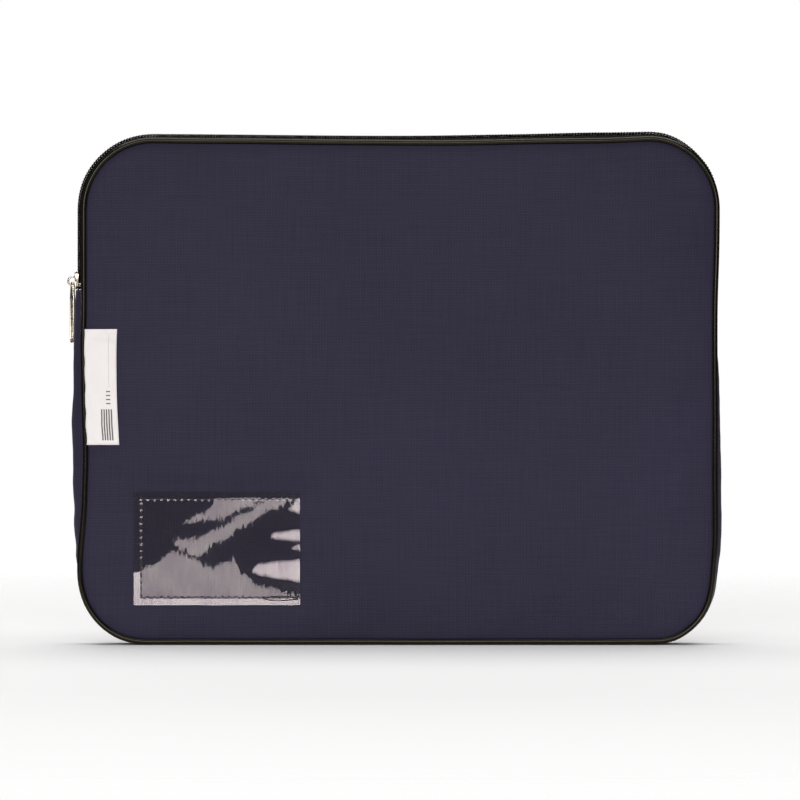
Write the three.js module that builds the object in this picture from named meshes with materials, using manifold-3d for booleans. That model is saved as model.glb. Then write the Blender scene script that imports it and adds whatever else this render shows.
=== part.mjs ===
// A zipped cloth cash and document bag: two woven panels with rounded corners, joined by a gusset
// whose upper half is a coil zip, with vinyl piping round both edges, a name label in the left seam
// and a clear card window on the front.
//
// Units are millimetres and +Z is up. The front faces -Y and +X is to the right of someone looking
// at it. The bag stands on its bottom edge: z = 0 is the surface it stands on, and x = 0, y = 0 is
// the middle of that edge.
//
// The mouth opens by folding the top of the front panel forwards along FOLD_Z. Each piece that
// crosses the fold is one piece of cloth on the real bag, and here it is cut in two at the fold.

import * as THREE from 'three';
import { mergeVertices } from 'three/addons/utils/BufferGeometryUtils.js';
import Module from 'manifold-3d';

const wasm = await Module();
wasm.setup();

// Overall sizes, measured between the middles of the piping beads
const SEAM_WIDTH = 363;
const SEAM_HEIGHT = 288.2;
const SEAM_DEPTH = 24;
const CORNER_RADIUS = 40;

// Clearances
const GAP = 0.3; // between neighbouring pieces
const THIN_GAP = 0.2; // between a trim and the sheet it lies on
const FOLD_GAP = 1; // between the two halves of a piece cut at the fold

// Cloth, piping and seams
const PIPING_RADIUS = 1.7;
const PIPING_FLAT = 0.5; // the flat left on each side of the bead
const PANEL_THICKNESS = 1.4;
const PANEL_STEP = 0.6; // how far a panel's outer face lies outside the plane of the beads
const GUSSET_THICKNESS = 1.2;
const GUSSET_EDGE = 0.4; // how far the gusset's edges lie outside the beads' centre line
const GUSSET_CROWN = 4.6; // and how far its middle does
const GUSSET_FLAT = 8; // width of the gusset's flat middle
const BINDING_WIDTH = 8;
const BINDING_THICKNESS = 2.5;

// Zip
const ZIP_SIDE_LENGTH = 85.9; // how far the zip runs down each side from the top seam
const FOLD_ABOVE_SLIDER = 4; // from the slider at rest up to the mouth's fold
const TAPE_THICKNESS = 0.9;
const TAPE_CROWN = 2.2;
const COIL_WIDTH = 2.2;
const COIL_HEIGHT = 2.1;

// Slider and pull
const SLIDER_LENGTH = 10.4;
const SLIDER_REST_GAP = 0.6; // from the slider's lower end to the end of the zip
const SLIDER_WIDE = 9.6;
const SLIDER_NARROW = 7.6;
const SLIDER_CORNER = 1.6;
const PLATE_THICKNESS = 1;
const NECK_THICKNESS = 1;
const NECK_LENGTH = 3.5;
const BRIDGE_RADIUS = 2.5; // of the bridge bar's middle, about the pull's axis
const BRIDGE_BAR_RADIUS = 0.6;
const BRIDGE_LEG = 1.5; // from the slider's face out to the pull's axis
const BRIDGE_DROP = 0.6; // how far the bridge sits below the slider's middle
const PULL_THICKNESS = 1.2;
const EYE_CLEARANCE = 0.65; // round the bridge's bar, so that the pull can lie a little askew
const EYE_RIM = 0.95;
const PULL_WIDTH = 6.8;
const PULL_LENGTH = 33; // from the middle of the eye to the tip
const PULL_SHOULDER = 6.5; // from the middle of the eye to the full width
const PULL_TIP_RADIUS = 2.6;
const PULL_TWIST = THREE.MathUtils.degToRad(20);
const PULL_RECESS_DEPTH = 0.25;
const PULL_RIM = 1.1;

// Trim on the front panel
const LABEL_WIDTH = 17.6;
const LABEL_HEIGHT = 66.5;
const LABEL_BELOW_FOLD = 37.7; // from the fold down to the label's top
const LABEL_THICKNESS = 0.5;
const WINDOW_WIDTH = 95.5;
const WINDOW_HEIGHT = 65;
const WINDOW_FROM_LEFT = 28.8; // from the left seam to the window
const WINDOW_BOTTOM = 22.7;
const WINDOW_THICKNESS = 0.3;
const WINDOW_CORNER = 1.5;
const STITCH_INSET = 4.2; // from the window's edge to its stitch line
const STITCH_WIDTH = 0.6;
const STITCH_THICKNESS = 0.25;

// Facets
const CORNER_FACETS = 8;
const BEVEL_FACETS = 2;

// Worked out from the sizes above
const SEAM_BOTTOM = PIPING_RADIUS;
const SEAM_TOP = SEAM_BOTTOM + SEAM_HEIGHT;
const SEAM_Y = SEAM_DEPTH / 2;
const SEAM_LEFT = -SEAM_WIDTH / 2;
const PANEL_FACE_Y = SEAM_Y + PANEL_STEP;
const GUSSET_SIDE_Y = SEAM_Y - PIPING_RADIUS - GAP;
const BOTTOM_LIFT = GUSSET_CROWN - PIPING_RADIUS; // sets the gusset's crown on z = 0 as well
const ZIP_END_Z = SEAM_TOP - ZIP_SIDE_LENGTH; // where the zip gives way to the gusset
const ZIP_SLOT = NECK_THICKNESS + 2 * GAP; // between the coils, where the slider's neck runs
const TAPE_FLAT = SLIDER_WIDE + 2 * THIN_GAP;
const COIL_BASE = TAPE_CROWN + GAP;
const COIL_TOP = COIL_BASE + COIL_HEIGHT;
const PLATE_BASE = COIL_TOP + GAP;
const PLATE_TOP = PLATE_BASE + PLATE_THICKNESS;
const SLIDER_Z = ZIP_END_Z + SLIDER_REST_GAP + SLIDER_LENGTH / 2;
const FOLD_Z = SLIDER_Z + SLIDER_LENGTH / 2 + FOLD_ABOVE_SLIDER; // height of the mouth's fold
const BRIDGE_Z = SLIDER_Z - BRIDGE_DROP;
const PULL_AXIS_X = SEAM_LEFT - PLATE_TOP - BRIDGE_LEG;
const PULL_HOLE_RADIUS = BRIDGE_BAR_RADIUS + EYE_CLEARANCE;
const PULL_EYE_RADIUS = PULL_HOLE_RADIUS + EYE_RIM;
const LABEL_BOTTOM = FOLD_Z - LABEL_BELOW_FOLD - LABEL_HEIGHT;
const WINDOW_LEFT = SEAM_LEFT + WINDOW_FROM_LEFT;
const FAR = 2 * (SEAM_WIDTH + SEAM_HEIGHT + SEAM_DEPTH); // past every side of the bag

// The bag's outline in the XZ plane, grown by offset. Lift raises the bottom edge alone.
function outline(offset, lift = 0) {
  const right = SEAM_WIDTH / 2 + offset;
  const bottom = SEAM_BOTTOM - offset + lift;
  const top = SEAM_TOP + offset;
  const radius = CORNER_RADIUS + offset;
  const shape = new THREE.Shape();
  shape.absarc(right - radius, bottom + radius, radius, -Math.PI / 2, 0);
  shape.absarc(right - radius, top - radius, radius, 0, Math.PI / 2);
  shape.absarc(-right + radius, top - radius, radius, Math.PI / 2, Math.PI);
  shape.absarc(-right + radius, bottom + radius, radius, Math.PI, 1.5 * Math.PI);
  return shape;
}

function ring(outer, inner, lift = 0) {
  const shape = outline(outer, lift);
  shape.holes.push(outline(inner, lift));
  return shape;
}

function rectangle(left, bottom, width, height, radius) {
  const shape = new THREE.Shape();
  shape.absarc(left + width - radius, bottom + radius, radius, -Math.PI / 2, 0);
  shape.absarc(left + width - radius, bottom + height - radius, radius, 0, Math.PI / 2);
  shape.absarc(left + radius, bottom + height - radius, radius, Math.PI / 2, Math.PI);
  shape.absarc(left + radius, bottom + radius, radius, Math.PI, 1.5 * Math.PI);
  return shape;
}

// Extrudes a shape drawn in XZ along Y. A bevel swells it by swell over the last edge millimetres
// of each end, so the middle stands out and both ends keep the drawn outline.
function extrudeY(shape, yFrom, yTo, swell = 0, edge = 0) {
  const geometry = new THREE.ExtrudeGeometry(shape, {
    depth: yTo - yFrom - 2 * edge,
    curveSegments: CORNER_FACETS,
    bevelEnabled: edge > 0,
    bevelThickness: edge,
    bevelSize: swell,
    bevelSegments: BEVEL_FACETS,
  });
  geometry.rotateX(Math.PI / 2);
  geometry.translate(0, yTo - edge, 0);
  return geometry;
}

function solidOf(geometry) {
  const bare = geometry.clone();
  bare.deleteAttribute('normal');
  bare.deleteAttribute('uv');
  const merged = mergeVertices(bare, 1e-4);
  const mesh = new wasm.Mesh({
    numProp: 3,
    vertProperties: merged.attributes.position.array,
    triVerts: merged.index.array,
  });
  return new wasm.Manifold(mesh);
}

function geometryOf(solid) {
  const mesh = solid.getMesh();
  const geometry = new THREE.BufferGeometry();
  geometry.setAttribute('position', new THREE.BufferAttribute(mesh.vertProperties, 3));
  geometry.setIndex(new THREE.BufferAttribute(mesh.triVerts, 1));
  geometry.computeVertexNormals();
  return geometry;
}

function boxSolid(low, high) {
  const size = high.map((value, axis) => value - low[axis]);
  const geometry = new THREE.BoxGeometry(...size);
  geometry.translate(...low.map((value, axis) => value + size[axis] / 2));
  return solidOf(geometry);
}

// Cuts of a solid: the parts below, above and between two heights, and those to one side in X
const below = (solid, z) => solid.intersect(boxSolid([-FAR, -FAR, -FAR], [FAR, FAR, z]));
const above = (solid, z) => solid.intersect(boxSolid([-FAR, -FAR, z], [FAR, FAR, FAR]));
const leftHalf = (solid) => solid.intersect(boxSolid([-FAR, -FAR, -FAR], [0, FAR, FAR]));
const rightHalf = (solid) => solid.intersect(boxSolid([0, -FAR, -FAR], [FAR, FAR, FAR]));

const belowFold = (solid) => below(solid, FOLD_Z - FOLD_GAP / 2);
const aboveFold = (solid) => above(solid, FOLD_Z + FOLD_GAP / 2);

// side is -1 at the front and 1 at the back
function slabBetween(shape, side, near, far) {
  const from = Math.min(side * near, side * far);
  const to = Math.max(side * near, side * far);
  return solidOf(extrudeY(shape, from, to));
}

function panel(side) {
  const edge = -PIPING_RADIUS - GAP;
  return slabBetween(outline(edge), side, PANEL_FACE_Y - PANEL_THICKNESS, PANEL_FACE_Y);
}

function piping(side) {
  const flat = PIPING_FLAT / 2;
  const middle = side * SEAM_Y;
  const swell = PIPING_RADIUS - flat;
  const bead = extrudeY(ring(flat, -flat), middle - PIPING_RADIUS, middle + PIPING_RADIUS, swell, swell);
  return solidOf(bead);
}

// A strip that runs all round the bag between the beads, crowned across its width
function arch(edge, crown, flat, thickness, lift) {
  const rise = (GUSSET_SIDE_Y * 2 - flat) / 2;
  const outer = extrudeY(outline(edge, lift), -GUSSET_SIDE_Y, GUSSET_SIDE_Y, crown - edge, rise);
  const innerEdge = edge - thickness;
  const inner = extrudeY(
    outline(innerEdge, lift), -GUSSET_SIDE_Y, GUSSET_SIDE_Y, crown - edge, rise);
  const through = extrudeY(outline(innerEdge, lift), -SEAM_Y, SEAM_Y);
  return solidOf(outer).subtract(solidOf(inner).add(solidOf(through)));
}

function gusset() {
  const strip = arch(GUSSET_EDGE, GUSSET_CROWN, GUSSET_FLAT, GUSSET_THICKNESS, BOTTOM_LIFT);
  return below(strip, ZIP_END_Z);
}

function tape(side) {
  const strip = arch(GUSSET_EDGE, TAPE_CROWN, TAPE_FLAT, TAPE_THICKNESS, 0);
  const upper = above(strip, ZIP_END_Z + GAP);
  const half = side < 0
    ? boxSolid([-FAR, -FAR, -FAR], [FAR, -ZIP_SLOT / 2, FAR])
    : boxSolid([-FAR, ZIP_SLOT / 2, -FAR], [FAR, FAR, FAR]);
  return upper.intersect(half);
}

function coil(side) {
  const near = ZIP_SLOT / 2;
  return above(
    slabBetween(ring(COIL_TOP, COIL_BASE), side, near, near + COIL_WIDTH), ZIP_END_Z + GAP);
}

// The bound seam allowance inside the bag, behind each panel's edge
function binding(side) {
  const outer = -PIPING_RADIUS - GAP;
  const far = PANEL_FACE_Y - PANEL_THICKNESS - GAP;
  return slabBetween(ring(outer, outer - BINDING_WIDTH, BOTTOM_LIFT), side, far - BINDING_THICKNESS, far);
}

// A plate of the slider, seen from outside the bag: wide at the lower end, where the open zip enters
function sliderPlate(base) {
  const half = SLIDER_LENGTH / 2;
  const shape = new THREE.Shape();
  shape.moveTo(-SLIDER_WIDE / 2 + SLIDER_CORNER, -half);
  shape.lineTo(SLIDER_WIDE / 2 - SLIDER_CORNER, -half);
  shape.quadraticCurveTo(SLIDER_WIDE / 2, -half, SLIDER_WIDE / 2, -half + SLIDER_CORNER);
  shape.lineTo(SLIDER_NARROW / 2, half - SLIDER_CORNER);
  shape.quadraticCurveTo(SLIDER_NARROW / 2, half, SLIDER_NARROW / 2 - SLIDER_CORNER, half);
  shape.lineTo(-SLIDER_NARROW / 2 + SLIDER_CORNER, half);
  shape.quadraticCurveTo(-SLIDER_NARROW / 2, half, -SLIDER_NARROW / 2, half - SLIDER_CORNER);
  shape.lineTo(-SLIDER_WIDE / 2, -half + SLIDER_CORNER);
  shape.quadraticCurveTo(-SLIDER_WIDE / 2, -half, -SLIDER_WIDE / 2 + SLIDER_CORNER, -half);
  const geometry = new THREE.ExtrudeGeometry(shape, {
    depth: PLATE_THICKNESS, bevelEnabled: false, curveSegments: 3,
  });
  standOnLeftSide(geometry);
  geometry.translate(SEAM_LEFT - base, 0, SLIDER_Z);
  return solidOf(geometry);
}

// Turns a shape drawn in XY and extruded along Z so that it is drawn in YZ and extruded along -X
function standOnLeftSide(geometry) {
  const basis = new THREE.Matrix4().makeBasis(
    new THREE.Vector3(0, -1, 0), new THREE.Vector3(0, 0, 1), new THREE.Vector3(-1, 0, 0));
  geometry.applyMatrix4(basis);
}

function sliderBody() {
  const innerBase = TAPE_CROWN - TAPE_THICKNESS - GAP - PLATE_THICKNESS;
  const bottom = SLIDER_Z - SLIDER_LENGTH / 2;
  const sunk = PLATE_THICKNESS / 2;
  const neck = boxSolid(
    [SEAM_LEFT - PLATE_BASE - sunk, -NECK_THICKNESS / 2, bottom + sunk],
    [SEAM_LEFT - innerBase - sunk, NECK_THICKNESS / 2, bottom + NECK_LENGTH]);
  return sliderPlate(PLATE_BASE).add(sliderPlate(innerBase)).add(neck);
}

// Half a circle round the pull's axis, with a straight leg at each end, in the plane y = 0
class BridgeCurve extends THREE.Curve {
  getPoint(t, target = new THREE.Vector3()) {
    const leg = BRIDGE_LEG - GAP;
    const bend = Math.PI * BRIDGE_RADIUS;
    const along = t * (bend + 2 * leg);
    if (along < leg) {
      return target.set(PULL_AXIS_X + leg - along, 0, BRIDGE_Z - BRIDGE_RADIUS);
    }
    if (along > leg + bend) {
      return target.set(PULL_AXIS_X + along - leg - bend, 0, BRIDGE_Z + BRIDGE_RADIUS);
    }
    const angle = (along - leg) / BRIDGE_RADIUS;
    return target.set(
      PULL_AXIS_X - BRIDGE_RADIUS * Math.sin(angle), 0, BRIDGE_Z - BRIDGE_RADIUS * Math.cos(angle));
  }
}

function sliderBridge() {
  const section = new THREE.Shape();
  section.absarc(0, 0, BRIDGE_BAR_RADIUS, 0, 2 * Math.PI);
  const geometry = new THREE.ExtrudeGeometry(section, {
    extrudePath: new BridgeCurve(), steps: 18, curveSegments: 5,
  });
  return solidOf(geometry);
}

// The pull hangs from its eye: the middle of the eye is the shape's origin
function pullOutline(inset) {
  const half = PULL_WIDTH / 2 - inset;
  const tip = -PULL_LENGTH + inset;
  const corner = PULL_TIP_RADIUS - inset;
  return { half, tip, corner };
}

function pullTab() {
  const { half, tip, corner } = pullOutline(0);
  const shape = new THREE.Shape();
  shape.absarc(0, 0, PULL_EYE_RADIUS, 0, Math.PI);
  shape.lineTo(-half, -PULL_SHOULDER);
  shape.lineTo(-half, tip + corner);
  shape.absarc(-half + corner, tip + corner, corner, Math.PI, 1.5 * Math.PI);
  shape.absarc(half - corner, tip + corner, corner, 1.5 * Math.PI, 2 * Math.PI);
  shape.lineTo(half, -PULL_SHOULDER);
  shape.closePath();
  const hole = new THREE.Path();
  hole.absarc(0, 0, PULL_HOLE_RADIUS, 0, 2 * Math.PI);
  shape.holes.push(hole);
  const plate = new THREE.ExtrudeGeometry(shape, {
    depth: PULL_THICKNESS, bevelEnabled: false, curveSegments: CORNER_FACETS,
  });
  plate.translate(0, 0, -PULL_THICKNESS / 2);
  const recessed = [-1, 1].reduce(
    (solid, face) => solid.subtract(pullRecess(face)), solidOf(plate));
  const geometry = geometryOf(recessed);
  standOnLeftSide(geometry);
  geometry.rotateZ(PULL_TWIST);
  return geometry;
}

function pullRecess(face) {
  const { half, tip, corner } = pullOutline(PULL_RIM);
  const height = -PULL_SHOULDER - PULL_RIM - tip;
  const depth = 2 * PULL_RECESS_DEPTH;
  const recess = new THREE.ExtrudeGeometry(rectangle(-half, tip, 2 * half, height, corner), {
    depth, bevelEnabled: false, curveSegments: 4,
  });
  recess.translate(0, 0, (face * PULL_THICKNESS - depth) / 2);
  return solidOf(recess);
}

// Sheets that lie on the front panel, one over the other
function frontSheet(shape, gapBehind, thickness) {
  const back = -PANEL_FACE_Y - gapBehind;
  return extrudeY(shape, back - thickness, back);
}

function nameLabel() {
  const left = SEAM_LEFT + PIPING_RADIUS + GAP;
  return frontSheet(rectangle(left, LABEL_BOTTOM, LABEL_WIDTH, LABEL_HEIGHT, GAP), GAP, LABEL_THICKNESS);
}

function cardWindow() {
  const shape = rectangle(WINDOW_LEFT, WINDOW_BOTTOM, WINDOW_WIDTH, WINDOW_HEIGHT, WINDOW_CORNER);
  return frontSheet(shape, GAP, WINDOW_THICKNESS);
}

// One line of thread along the window's bottom, left side and top. The right side is the card's way in.
function windowStitching() {
  const left = WINDOW_LEFT + STITCH_INSET;
  const right = WINDOW_LEFT + WINDOW_WIDTH - STITCH_WIDTH;
  const bottom = WINDOW_BOTTOM + STITCH_INSET;
  const top = WINDOW_BOTTOM + WINDOW_HEIGHT - STITCH_INSET;
  const shape = new THREE.Shape([
    [left, bottom], [right, bottom],
    [right, bottom + STITCH_WIDTH], [left + STITCH_WIDTH, bottom + STITCH_WIDTH],
    [left + STITCH_WIDTH, top - STITCH_WIDTH], [right, top - STITCH_WIDTH],
    [right, top], [left, top],
  ].map(([x, z]) => new THREE.Vector2(x, z)));
  return frontSheet(shape, GAP + WINDOW_THICKNESS + THIN_GAP, STITCH_THICKNESS);
}

const NAVY_NYLON = { color: 0x373346, roughness: 0.8, metalness: 0 };
const BLACK_VINYL = { color: 0x1c1a18, roughness: 0.38, metalness: 0 };
const BLACK_TAPE = { color: 0x1a1918, roughness: 0.85, metalness: 0 };
const BLACK_COIL = { color: 0x201e1c, roughness: 0.45, metalness: 0 };
const NICKEL = { color: 0xd9d2c8, roughness: 0.22, metalness: 1 };
const WHITE_RIBBON = { color: 0xefe8e4, roughness: 0.7, metalness: 0 };
const CLEAR_VINYL = { color: 0xb9b0b4, roughness: 0.15, metalness: 0, transparent: true, opacity: 0.4 };
const BLACK_THREAD = { color: 0x171615, roughness: 0.7, metalness: 0 };

const bag = new THREE.Group();

function add(name, piece, finish, parent = bag) {
  const geometry = piece.isBufferGeometry ? piece : geometryOf(piece);
  const mesh = new THREE.Mesh(geometry, new THREE.MeshStandardMaterial(finish));
  mesh.name = name;
  parent.add(mesh);
  return mesh;
}

const FRONT = -1;
const BACK = 1;

const frontPanel = panel(FRONT);
add('front_panel', belowFold(frontPanel), NAVY_NYLON);
add('front_panel_flap', aboveFold(frontPanel), NAVY_NYLON);
add('back_panel', panel(BACK), NAVY_NYLON);

const frontPiping = piping(FRONT);
add('front_piping', belowFold(frontPiping), BLACK_VINYL);
add('front_piping_flap', aboveFold(frontPiping), BLACK_VINYL);
add('back_piping', piping(BACK), BLACK_VINYL);

add('gusset', gusset(), NAVY_NYLON);

const frontTape = tape(FRONT);
add('front_zip_tape_left_end', leftHalf(belowFold(frontTape)), BLACK_TAPE);
add('front_zip_tape_right_end', rightHalf(belowFold(frontTape)), BLACK_TAPE);
add('front_zip_tape_flap', aboveFold(frontTape), BLACK_TAPE);
add('back_zip_tape', tape(BACK), BLACK_TAPE);

const frontCoil = coil(FRONT);
add('front_coil_left_end', leftHalf(belowFold(frontCoil)), BLACK_COIL);
add('front_coil_right_end', rightHalf(belowFold(frontCoil)), BLACK_COIL);
add('front_coil_flap', aboveFold(frontCoil), BLACK_COIL);
add('back_coil', coil(BACK), BLACK_COIL);

const frontBinding = binding(FRONT);
add('front_binding', belowFold(frontBinding), BLACK_TAPE);
add('front_binding_flap', aboveFold(frontBinding), BLACK_TAPE);
add('back_binding', binding(BACK), BLACK_TAPE);

const slider = new THREE.Group();
bag.add(slider);
add('slider_body', sliderBody(), NICKEL, slider);
add('slider_bridge', sliderBridge(), NICKEL, slider);
const pull = add('pull_tab', pullTab(), NICKEL, slider);
pull.position.set(PULL_AXIS_X, 0, BRIDGE_Z - BRIDGE_RADIUS);

add('name_label', nameLabel(), WHITE_RIBBON);
add('card_window', cardWindow(), CLEAR_VINYL);
add('window_stitching', windowStitching(), BLACK_THREAD);

export default bag;
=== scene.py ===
# %% [markdown]
# # A zipped cash bag in coarse navy nylon
#
# The bag is two flat cloth panels with round corners, joined all round by a narrow strip. The
# lower part of the strip is a nylon gusset and the upper part is a coil zip, and a corded vinyl
# piping covers each seam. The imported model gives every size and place. Each cell below makes one
# piece in the order in which a sewing room would: the seam line first, then what is sewn to it.

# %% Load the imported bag
import math

import bmesh
import bpy
from mathutils import Matrix, Vector, noise


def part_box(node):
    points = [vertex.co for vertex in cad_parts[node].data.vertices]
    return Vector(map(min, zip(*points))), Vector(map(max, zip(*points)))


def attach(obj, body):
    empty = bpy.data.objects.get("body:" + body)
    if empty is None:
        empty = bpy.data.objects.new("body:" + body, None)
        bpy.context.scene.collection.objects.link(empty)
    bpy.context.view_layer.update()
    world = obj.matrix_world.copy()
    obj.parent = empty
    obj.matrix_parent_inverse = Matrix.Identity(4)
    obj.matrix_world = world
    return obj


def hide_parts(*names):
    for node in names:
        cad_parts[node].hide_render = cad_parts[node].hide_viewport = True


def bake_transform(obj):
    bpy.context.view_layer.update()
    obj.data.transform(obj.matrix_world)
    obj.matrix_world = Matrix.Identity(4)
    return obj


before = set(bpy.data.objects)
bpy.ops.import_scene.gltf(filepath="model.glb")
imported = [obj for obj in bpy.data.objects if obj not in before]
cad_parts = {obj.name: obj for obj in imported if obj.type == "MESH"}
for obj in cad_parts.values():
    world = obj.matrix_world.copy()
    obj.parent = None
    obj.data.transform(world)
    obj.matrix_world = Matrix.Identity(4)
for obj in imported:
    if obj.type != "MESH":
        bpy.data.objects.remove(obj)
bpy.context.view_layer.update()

# %% [markdown]
# ## The seam line
#
# Both panels are sewn along the same rounded rectangle. Every strip of the bag follows it, so it
# pays to have one function that turns a distance along the seam into a place. The distance runs
# clockwise, seen from the front, from the lower left end of the zip. Strips can then be made
# straight, as they are cut, and bent round the bag in one step, as they are sewn.

# %% Read the seam line from the piping
MM = 0.001
bead_low, bead_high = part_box("back_piping")
BEAD = (bead_high.y - bead_low.y) / 2
SEAM_Y = bead_high.y - BEAD
HALF = bead_high.x - BEAD
LOW = bead_low.z + BEAD
HIGH = bead_high.z - BEAD
MIDDLE_Z = (LOW + HIGH) / 2
ROUND = 40 * MM
ZIP_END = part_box("gusset")[1].z

RISE = HIGH - ROUND - ZIP_END
QUARTER = ROUND * math.pi / 2
ACROSS = 2 * (HALF - ROUND)
DOWN = HIGH - LOW - 2 * ROUND
LEGS = [
    (RISE, False), (QUARTER, True), (ACROSS, False), (QUARTER, True), (DOWN, False),
    (QUARTER, True), (ACROSS, False), (QUARTER, True), (DOWN - RISE, False),
]
ZIP_LENGTH = 2 * (RISE + QUARTER) + ACROSS
ROUTE = sum(length for length, _ in LEGS)
print(f"seam line {1000 * ROUTE:.1f} mm, zip {1000 * ZIP_LENGTH:.1f} mm")


def seam_at(distance):
    """The place (x, z) on the seam line and the outward direction (x, z) there."""
    x, z, heading = -HALF, ZIP_END, math.pi / 2
    left = distance
    for length, is_corner in LEGS:
        part = min(left, length)
        if is_corner:
            centre_x = x + math.sin(heading) * ROUND
            centre_z = z - math.cos(heading) * ROUND
            heading -= part / ROUND
            x = centre_x - math.sin(heading) * ROUND
            z = centre_z + math.cos(heading) * ROUND
        else:
            x += math.cos(heading) * part
            z += math.sin(heading) * part
        left -= part
        if left <= 0:
            break
    return x, z, -math.sin(heading), math.cos(heading)


# %% [markdown]
# ## A bag is never quite its pattern
#
# Cloth hangs a little off its pattern: the top edge dips between the corners, the lower left and
# the upper right corner have been pushed out, and both lower corners sag to the table. One small
# shift of the whole outline, the same for every piece that lies on it, keeps the seams together
# while it takes the machine-made look off the shape.

# %% One small shift for every piece on the outline
TOP_DIP = 1.4 * MM
DIP_REACH = 150 * MM
# How far the lower left corner is pushed out, the upper right one each way, and how far the
# lower corners sag, the left one (-1) and the right one (1).
PUSHED_LEFT = 2.3 * MM
PUSHED_RIGHT, PUSHED_UP = 1.3 * MM, 1.4 * MM
SAG = {-1: 1.0 * MM, 1: 1.9 * MM}
# Waves of each side: how far it stands out, at what height, and over what reach.
WAVES = {
    -1: [(-1.0 * MM, 110 * MM, 22 * MM), (0.5 * MM, 172 * MM, 16 * MM)],
    1: [(-1.2 * MM, 38 * MM, 14 * MM)],
}


def ease(value, start, end):
    """0 before start, 1 after end, and a smooth step between."""
    share = min(max((value - start) / (end - start), 0), 1)
    return share * share * (3 - 2 * share)


def wave(side, z):
    """How far one side of the bag waves outwards at a height."""
    return sum(out * math.exp(-(((z - at) / reach) ** 2)) for out, at, reach in WAVES[side])


def settle(place):
    """Where a point of the pattern ends up on the worn bag."""
    x, y, z = place
    from_middle = min(abs(x) / DIP_REACH, 1)
    dip = TOP_DIP * math.cos(from_middle * math.pi / 2) ** 2 * ease(z, 150 * MM, 280 * MM)
    push = PUSHED_LEFT * (1 - ease(z, 44 * MM, 84 * MM)) + wave(-1, z)
    moved = Vector((x - push * ease(-x, 120 * MM, 170 * MM), y, z - dip))
    moved.x += wave(1, z) * ease(x, 120 * MM, 170 * MM)
    to_top = z - HIGH
    right = ease(x, HALF - 1.6 * ROUND, HALF - 0.25 * ROUND)
    moved.x += PUSHED_RIGHT * right * ease(to_top, -2.8 * ROUND, -0.6 * ROUND)
    right = ease(x, HALF - 1.7 * ROUND, HALF - 0.6 * ROUND)
    moved.z += PUSHED_UP * right * ease(to_top, -1.6 * ROUND, -0.3 * ROUND)
    for side, sag in SAG.items():
        corner = ease(side * x, HALF - ROUND, HALF - 0.5 * ROUND)
        moved.z -= sag * corner * (1 - ease(z, 0.5 * ROUND, 1.05 * ROUND))
    moved.z = max(moved.z, 0.02 * MM)
    return moved


corner = Vector((HALF - 0.3 * ROUND, 0, HIGH - 0.3 * ROUND))
moved_by = (settle(corner) - corner) / MM
print(f"the upper right corner moves {moved_by.x:.1f} mm out and {moved_by.z:.1f} mm up")


def eased(stations, distance):
    """A smooth value between stations of (distance, value)."""
    for (here, low), (there, high) in zip(stations, stations[1:]):
        if distance <= there:
            return low + (high - low) * ease(distance, here, there)
    return stations[-1][1]


def sew_round(bm):
    """Bends a strip that was made straight, X along the seam and Z outwards, round the bag."""
    for vert in bm.verts:
        x, z, out_x, out_z = seam_at(vert.co.x)
        vert.co = settle((x + out_x * vert.co.z, vert.co.y, z + out_z * vert.co.z))


# %% [markdown]
# ## Finishes
#
# A finish is a node tree. Every one below starts from a Principled shader, so two helpers are
# enough: one turns an sRGB hex colour into the linear light that the shader works in, and one
# adds a node with its settings and links. Patterns on cloth read a UV map that holds the place
# on the flat cloth in metres, so a thread spacing can be written in real millimetres.

# %% Helpers for finishes
def tint(code):
    """An sRGB hex colour as linear RGBA."""
    parts = [int(code[i:i + 2], 16) / 255 for i in (1, 3, 5)]
    return [v / 12.92 if v <= 0.04045 else ((v + 0.055) / 1.055) ** 2.4 for v in parts] + [1]


def put(tree, kind, sockets=None, **settings):
    """Adds a node. Settings go on the node; a socket takes a value, a socket or a node."""
    node = tree.nodes.new("ShaderNode" + kind)
    for name, value in settings.items():
        setattr(node, name, value)
    for name, value in (sockets or {}).items():
        if isinstance(value, bpy.types.Node):
            value = value.outputs[0]
        if isinstance(value, bpy.types.NodeSocket):
            tree.links.new(value, node.inputs[name])
        else:
            node.inputs[name].default_value = value
    return node


def new_finish(name):
    """An empty finish: the material and its node tree."""
    material = bpy.data.materials.new(name)
    material.use_nodes = True
    material.node_tree.nodes.clear()
    return material, material.node_tree


def show(tree, shader):
    put(tree, "OutputMaterial", {"Surface": shader})


# %% [markdown]
# ### Plain weave
#
# In a plain weave each thread goes over one crossing thread and under the next. Seen from above
# that is a checkerboard of small crowns: on one colour of the board the warp thread shows, on
# the other the weft. The product of two sine waves gives it directly. Its sign says which thread
# shows, and its size is high in the middle of a crossing and zero in the gaps between threads.

# %% A plain weave from two sine waves
def weave(tree, warp_pitch, weft_pitch):
    """The height of the thread crowns, which thread shows, and the place on the flat cloth."""
    place = put(tree, "UVMap", uv_map="flat")
    axes = put(tree, "SeparateXYZ", {0: place})
    waves = []
    for axis, pitch in (("X", warp_pitch), ("Y", weft_pitch)):
        angle = put(tree, "Math", {0: axes.outputs[axis], 1: math.pi / pitch}, operation="MULTIPLY")
        waves.append(put(tree, "Math", {0: angle}, operation="SINE"))
    board = put(tree, "Math", {0: waves[0], 1: waves[1]}, operation="MULTIPLY")
    size = put(tree, "Math", {0: board}, operation="ABSOLUTE")
    crown = put(tree, "Math", {0: size, 1: 0.5}, operation="POWER")
    warp_shows = put(tree, "MapRange", {"Value": board, "From Min": -0.25, "From Max": 0.25})
    return crown, warp_shows, place
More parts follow.
